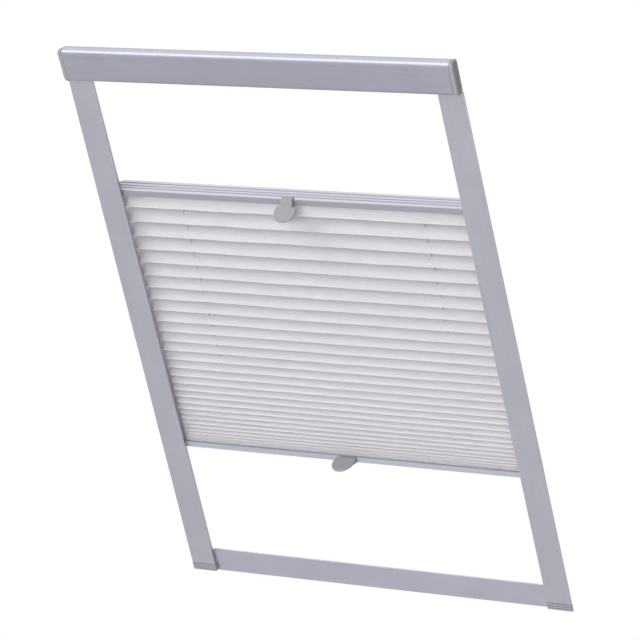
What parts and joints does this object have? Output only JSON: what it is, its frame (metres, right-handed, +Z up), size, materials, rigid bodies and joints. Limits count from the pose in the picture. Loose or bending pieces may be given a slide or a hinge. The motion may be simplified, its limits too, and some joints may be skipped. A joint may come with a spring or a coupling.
{
  "type": "pleated roof window blind",
  "caption": "Pleated skylight blind: side channels, headrail cover and bottom bar frame a folded cloth between sliding rails with finger tabs.",
  "frame": {"origin": "centre of the bottom bar's back face, on the plane of the window sash", "axes": "+X to the right seen from the room, +Y from the room towards the glass, +Z up along the side rails"},
  "size_m": [0.3848, 0.0393, 0.515],
  "materials": {
    "anodised_aluminium": "fine matt anodised, clear",
    "light_aluminium": "smooth, lightly lacquered",
    "grey_plastic": "moulded, fine grain",
    "dark_plastic": "moulded, fine grain",
    "white_plastic": "moulded, plain",
    "pleated_cloth": "crisp coated weave with pressed pleats",
    "cord": "fine braid",
    "spring_steel": "drawn wire",
    "screw_steel": "zinc plated"
  },
  "bodies": {
    "frame": {"bottom_bar": "anodised_aluminium", "cassette_cover": "anodised_aluminium", "side_rail_left": "anodised_aluminium", "side_rail_right": "anodised_aluminium", "rail_foot_left": "dark_plastic", "rail_foot_right": "dark_plastic", "cassette_end_cap_left": "grey_plastic", "cassette_end_cap_right": "grey_plastic", "cassette_bracket_left": "white_plastic", "cassette_bracket_right": "white_plastic", "tension_cord_left": "cord", "tension_cord_right": "cord", "cord_spring_left": "spring_steel", "cord_spring_right": "spring_steel", "cord_bead_left": "white_plastic", "cord_bead_right": "white_plastic", "cord_foot_anchor_left": "white_plastic", "cord_foot_anchor_right": "white_plastic", "head_screw_left": "screw_steel", "head_screw_right": "screw_steel"},
    "upper_rail": {"upper_rail": "light_aluminium", "upper_handle": "grey_plastic", "upper_cloth_strip": "white_plastic", "upper_glide_left": "grey_plastic", "upper_glide_right": "grey_plastic"},
    "lower_rail": {"lower_rail": "light_aluminium", "lower_handle": "grey_plastic", "lower_cloth_strip": "white_plastic", "lower_glide_left": "grey_plastic", "lower_glide_right": "grey_plastic"},
    "pleat_01": {"pleat_01": "pleated_cloth"},
    "pleat_02": {"pleat_02": "pleated_cloth"},
    "pleat_03": {"pleat_03": "pleated_cloth"},
    "pleat_04": {"pleat_04": "pleated_cloth"},
    "pleat_05": {"pleat_05": "pleated_cloth"},
    "pleat_06": {"pleat_06": "pleated_cloth"},
    "pleat_07": {"pleat_07": "pleated_cloth"},
    "pleat_08": {"pleat_08": "pleated_cloth"},
    "pleat_09": {"pleat_09": "pleated_cloth"},
    "pleat_10": {"pleat_10": "pleated_cloth"},
    "pleat_11": {"pleat_11": "pleated_cloth"},
    "pleat_12": {"pleat_12": "pleated_cloth"},
    "pleat_13": {"pleat_13": "pleated_cloth"},
    "pleat_14": {"pleat_14": "pleated_cloth"},
    "pleat_15": {"pleat_15": "pleated_cloth"},
    "pleat_16": {"pleat_16": "pleated_cloth"},
    "pleat_17": {"pleat_17": "pleated_cloth"},
    "pleat_18": {"pleat_18": "pleated_cloth"},
    "pleat_19": {"pleat_19": "pleated_cloth"},
    "pleat_20": {"pleat_20": "pleated_cloth"},
    "pleat_21": {"pleat_21": "pleated_cloth"},
    "pleat_22": {"pleat_22": "pleated_cloth"},
    "pleat_23": {"pleat_23": "pleated_cloth"},
    "pleat_24": {"pleat_24": "pleated_cloth"},
    "pleat_25": {"pleat_25": "pleated_cloth"},
    "pleat_26": {"pleat_26": "pleated_cloth"},
    "pleat_27": {"pleat_27": "pleated_cloth"},
    "pleat_28": {"pleat_28": "pleated_cloth"},
    "pleat_29": {"pleat_29": "pleated_cloth"},
    "pleat_30": {"pleat_30": "pleated_cloth"}
  },
  "joints": [
    {"name": "upper_rail_slide", "type": "slide", "parent": "frame", "child": "upper_rail", "axis": [0, 0, 1], "range_m": [-0.108, 0.1035], "deforming": ["tension_cord_left", "tension_cord_right"]},
    {"name": "lower_rail_slide", "type": "slide", "parent": "frame", "child": "lower_rail", "axis": [0, 0, 1], "range_m": [-0.099, 0.08], "deforming": ["tension_cord_left", "tension_cord_right"]},
    {"name": "pleat_01_slide", "type": "slide", "parent": "frame", "child": "pleat_01", "axis": [0, 0, 1], "range_m": [-0.10055, 0.09638], "deforming": ["pleat_01"]},
    {"name": "pleat_02_slide", "type": "slide", "parent": "frame", "child": "pleat_02", "axis": [0, 0, 1], "range_m": [-0.08674, 0.08315], "deforming": ["pleat_02"]},
    {"name": "pleat_03_slide", "type": "slide", "parent": "frame", "child": "pleat_03", "axis": [0, 0, 1], "range_m": [-0.07521, 0.0721], "deforming": ["pleat_03"]},
    {"name": "pleat_04_slide", "type": "slide", "parent": "frame", "child": "pleat_04", "axis": [0, 0, 1], "range_m": [-0.06405, 0.06141], "deforming": ["pleat_04"]},
    {"name": "pleat_05_slide", "type": "slide", "parent": "frame", "child": "pleat_05", "axis": [0, 0, 1], "range_m": [-0.05327, 0.05107], "deforming": ["pleat_05"]},
    {"name": "pleat_06_slide", "type": "slide", "parent": "frame", "child": "pleat_06", "axis": [0, 0, 1], "range_m": [-0.04285, 0.04109], "deforming": ["pleat_06"]},
    {"name": "pleat_07_slide", "type": "slide", "parent": "frame", "child": "pleat_07", "axis": [0, 0, 1], "range_m": [-0.0328, 0.03146], "deforming": ["pleat_07"]},
    {"name": "pleat_08_slide", "type": "slide", "parent": "frame", "child": "pleat_08", "axis": [0, 0, 1], "range_m": [-0.02313, 0.02218], "deforming": ["pleat_08"]},
    {"name": "pleat_09_slide", "type": "slide", "parent": "frame", "child": "pleat_09", "axis": [0, 0, 1], "range_m": [-0.01382, 0.01326], "deforming": ["pleat_09"]},
    {"name": "pleat_10_slide", "type": "slide", "parent": "frame", "child": "pleat_10", "axis": [0, 0, 1], "range_m": [-0.00488, 0.0047], "deforming": ["pleat_10"]},
    {"name": "pleat_11_slide", "type": "slide", "parent": "frame", "child": "pleat_11", "axis": [0, 0, 1], "range_m": [-0.00474, 0.00393], "deforming": ["pleat_11"]},
    {"name": "pleat_12_slide", "type": "slide", "parent": "frame", "child": "pleat_12", "axis": [0, 0, 1], "range_m": [-0.01303, 0.01062], "deforming": ["pleat_12"]},
    {"name": "pleat_13_slide", "type": "slide", "parent": "frame", "child": "pleat_13", "axis": [0, 0, 1], "range_m": [-0.02094, 0.01702], "deforming": ["pleat_13"]},
    {"name": "pleat_14_slide", "type": "slide", "parent": "frame", "child": "pleat_14", "axis": [0, 0, 1], "range_m": [-0.02847, 0.02311], "deforming": ["pleat_14"]},
    {"name": "pleat_15_slide", "type": "slide", "parent": "frame", "child": "pleat_15", "axis": [0, 0, 1], "range_m": [-0.03564, 0.02889], "deforming": ["pleat_15"]},
    {"name": "pleat_16_slide", "type": "slide", "parent": "frame", "child": "pleat_16", "axis": [0, 0, 1], "range_m": [-0.04243, 0.03438], "deforming": ["pleat_16"]},
    {"name": "pleat_17_slide", "type": "slide", "parent": "frame", "child": "pleat_17", "axis": [0, 0, 1], "range_m": [-0.04884, 0.03956], "deforming": ["pleat_17"]},
    {"name": "pleat_18_slide", "type": "slide", "parent": "frame", "child": "pleat_18", "axis": [0, 0, 1], "range_m": [-0.05488, 0.04445], "deforming": ["pleat_18"]},
    {"name": "pleat_19_slide", "type": "slide", "parent": "frame", "child": "pleat_19", "axis": [0, 0, 1], "range_m": [-0.06055, 0.04903], "deforming": ["pleat_19"]},
    {"name": "pleat_20_slide", "type": "slide", "parent": "frame", "child": "pleat_20", "axis": [0, 0, 1], "range_m": [-0.06584, 0.0533], "deforming": ["pleat_20"]},
    {"name": "pleat_21_slide", "type": "slide", "parent": "frame", "child": "pleat_21", "axis": [0, 0, 1], "range_m": [-0.07076, 0.05728], "deforming": ["pleat_21"]},
    {"name": "pleat_22_slide", "type": "slide", "parent": "frame", "child": "pleat_22", "axis": [0, 0, 1], "range_m": [-0.07531, 0.06095], "deforming": ["pleat_22"]},
    {"name": "pleat_23_slide", "type": "slide", "parent": "frame", "child": "pleat_23", "axis": [0, 0, 1], "range_m": [-0.07948, 0.06432], "deforming": ["pleat_23"]},
    {"name": "pleat_24_slide", "type": "slide", "parent": "frame", "child": "pleat_24", "axis": [0, 0, 1], "range_m": [-0.08328, 0.06739], "deforming": ["pleat_24"]},
    {"name": "pleat_25_slide", "type": "slide", "parent": "frame", "child": "pleat_25", "axis": [0, 0, 1], "range_m": [-0.0867, 0.07016], "deforming": ["pleat_25"]},
    {"name": "pleat_26_slide", "type": "slide", "parent": "frame", "child": "pleat_26", "axis": [0, 0, 1], "range_m": [-0.08975, 0.07262], "deforming": ["pleat_26"]},
    {"name": "pleat_27_slide", "type": "slide", "parent": "frame", "child": "pleat_27", "axis": [0, 0, 1], "range_m": [-0.09242, 0.07478], "deforming": ["pleat_27"]},
    {"name": "pleat_28_slide", "type": "slide", "parent": "frame", "child": "pleat_28", "axis": [0, 0, 1], "range_m": [-0.09473, 0.07664], "deforming": ["pleat_28"]},
    {"name": "pleat_29_slide", "type": "slide", "parent": "frame", "child": "pleat_29", "axis": [0, 0, 1], "range_m": [-0.09665, 0.0782], "deforming": ["pleat_29"]},
    {"name": "pleat_30_slide", "type": "slide", "parent": "frame", "child": "pleat_30", "axis": [0, 0, 1], "range_m": [-0.09851, 0.0797], "deforming": ["pleat_30"]}
  ],
  "couplings": [
    {"joint": "pleat_01_slide", "follows": "upper_rail_slide", "ratio": 0.92634},
    {"joint": "pleat_02_slide", "follows": "upper_rail_slide", "ratio": 0.79846},
    {"joint": "pleat_03_slide", "follows": "upper_rail_slide", "ratio": 0.69173},
    {"joint": "pleat_04_slide", "follows": "upper_rail_slide", "ratio": 0.58842},
    {"joint": "pleat_05_slide", "follows": "upper_rail_slide", "ratio": 0.48854},
    {"joint": "pleat_06_slide", "follows": "upper_rail_slide", "ratio": 0.39208},
    {"joint": "pleat_07_slide", "follows": "upper_rail_slide", "ratio": 0.29905},
    {"joint": "pleat_08_slide", "follows": "upper_rail_slide", "ratio": 0.20945},
    {"joint": "pleat_09_slide", "follows": "upper_rail_slide", "ratio": 0.12327},
    {"joint": "pleat_10_slide", "follows": "upper_rail_slide", "ratio": 0.04052},
    {"joint": "pleat_11_slide", "follows": "lower_rail_slide", "ratio": 0.04279},
    {"joint": "pleat_12_slide", "follows": "lower_rail_slide", "ratio": 0.12647},
    {"joint": "pleat_13_slide", "follows": "lower_rail_slide", "ratio": 0.20638},
    {"joint": "pleat_14_slide", "follows": "lower_rail_slide", "ratio": 0.28251},
    {"joint": "pleat_15_slide", "follows": "lower_rail_slide", "ratio": 0.35487},
    {"joint": "pleat_16_slide", "follows": "lower_rail_slide", "ratio": 0.42344},
    {"joint": "pleat_17_slide", "follows": "lower_rail_slide", "ratio": 0.48824},
    {"joint": "pleat_18_slide", "follows": "lower_rail_slide", "ratio": 0.54927},
    {"joint": "pleat_19_slide", "follows": "lower_rail_slide", "ratio": 0.60651},
    {"joint": "pleat_20_slide", "follows": "lower_rail_slide", "ratio": 0.65998},
    {"joint": "pleat_21_slide", "follows": "lower_rail_slide", "ratio": 0.70967},
    {"joint": "pleat_22_slide", "follows": "lower_rail_slide", "ratio": 0.75558},
    {"joint": "pleat_23_slide", "follows": "lower_rail_slide", "ratio": 0.79771},
    {"joint": "pleat_24_slide", "follows": "lower_rail_slide", "ratio": 0.83607},
    {"joint": "pleat_25_slide", "follows": "lower_rail_slide", "ratio": 0.87065},
    {"joint": "pleat_26_slide", "follows": "lower_rail_slide", "ratio": 0.90145},
    {"joint": "pleat_27_slide", "follows": "lower_rail_slide", "ratio": 0.92848},
    {"joint": "pleat_28_slide", "follows": "lower_rail_slide", "ratio": 0.95172},
    {"joint": "pleat_29_slide", "follows": "lower_rail_slide", "ratio": 0.97119},
    {"joint": "pleat_30_slide", "follows": "lower_rail_slide", "ratio": 0.98999}
  ]
}
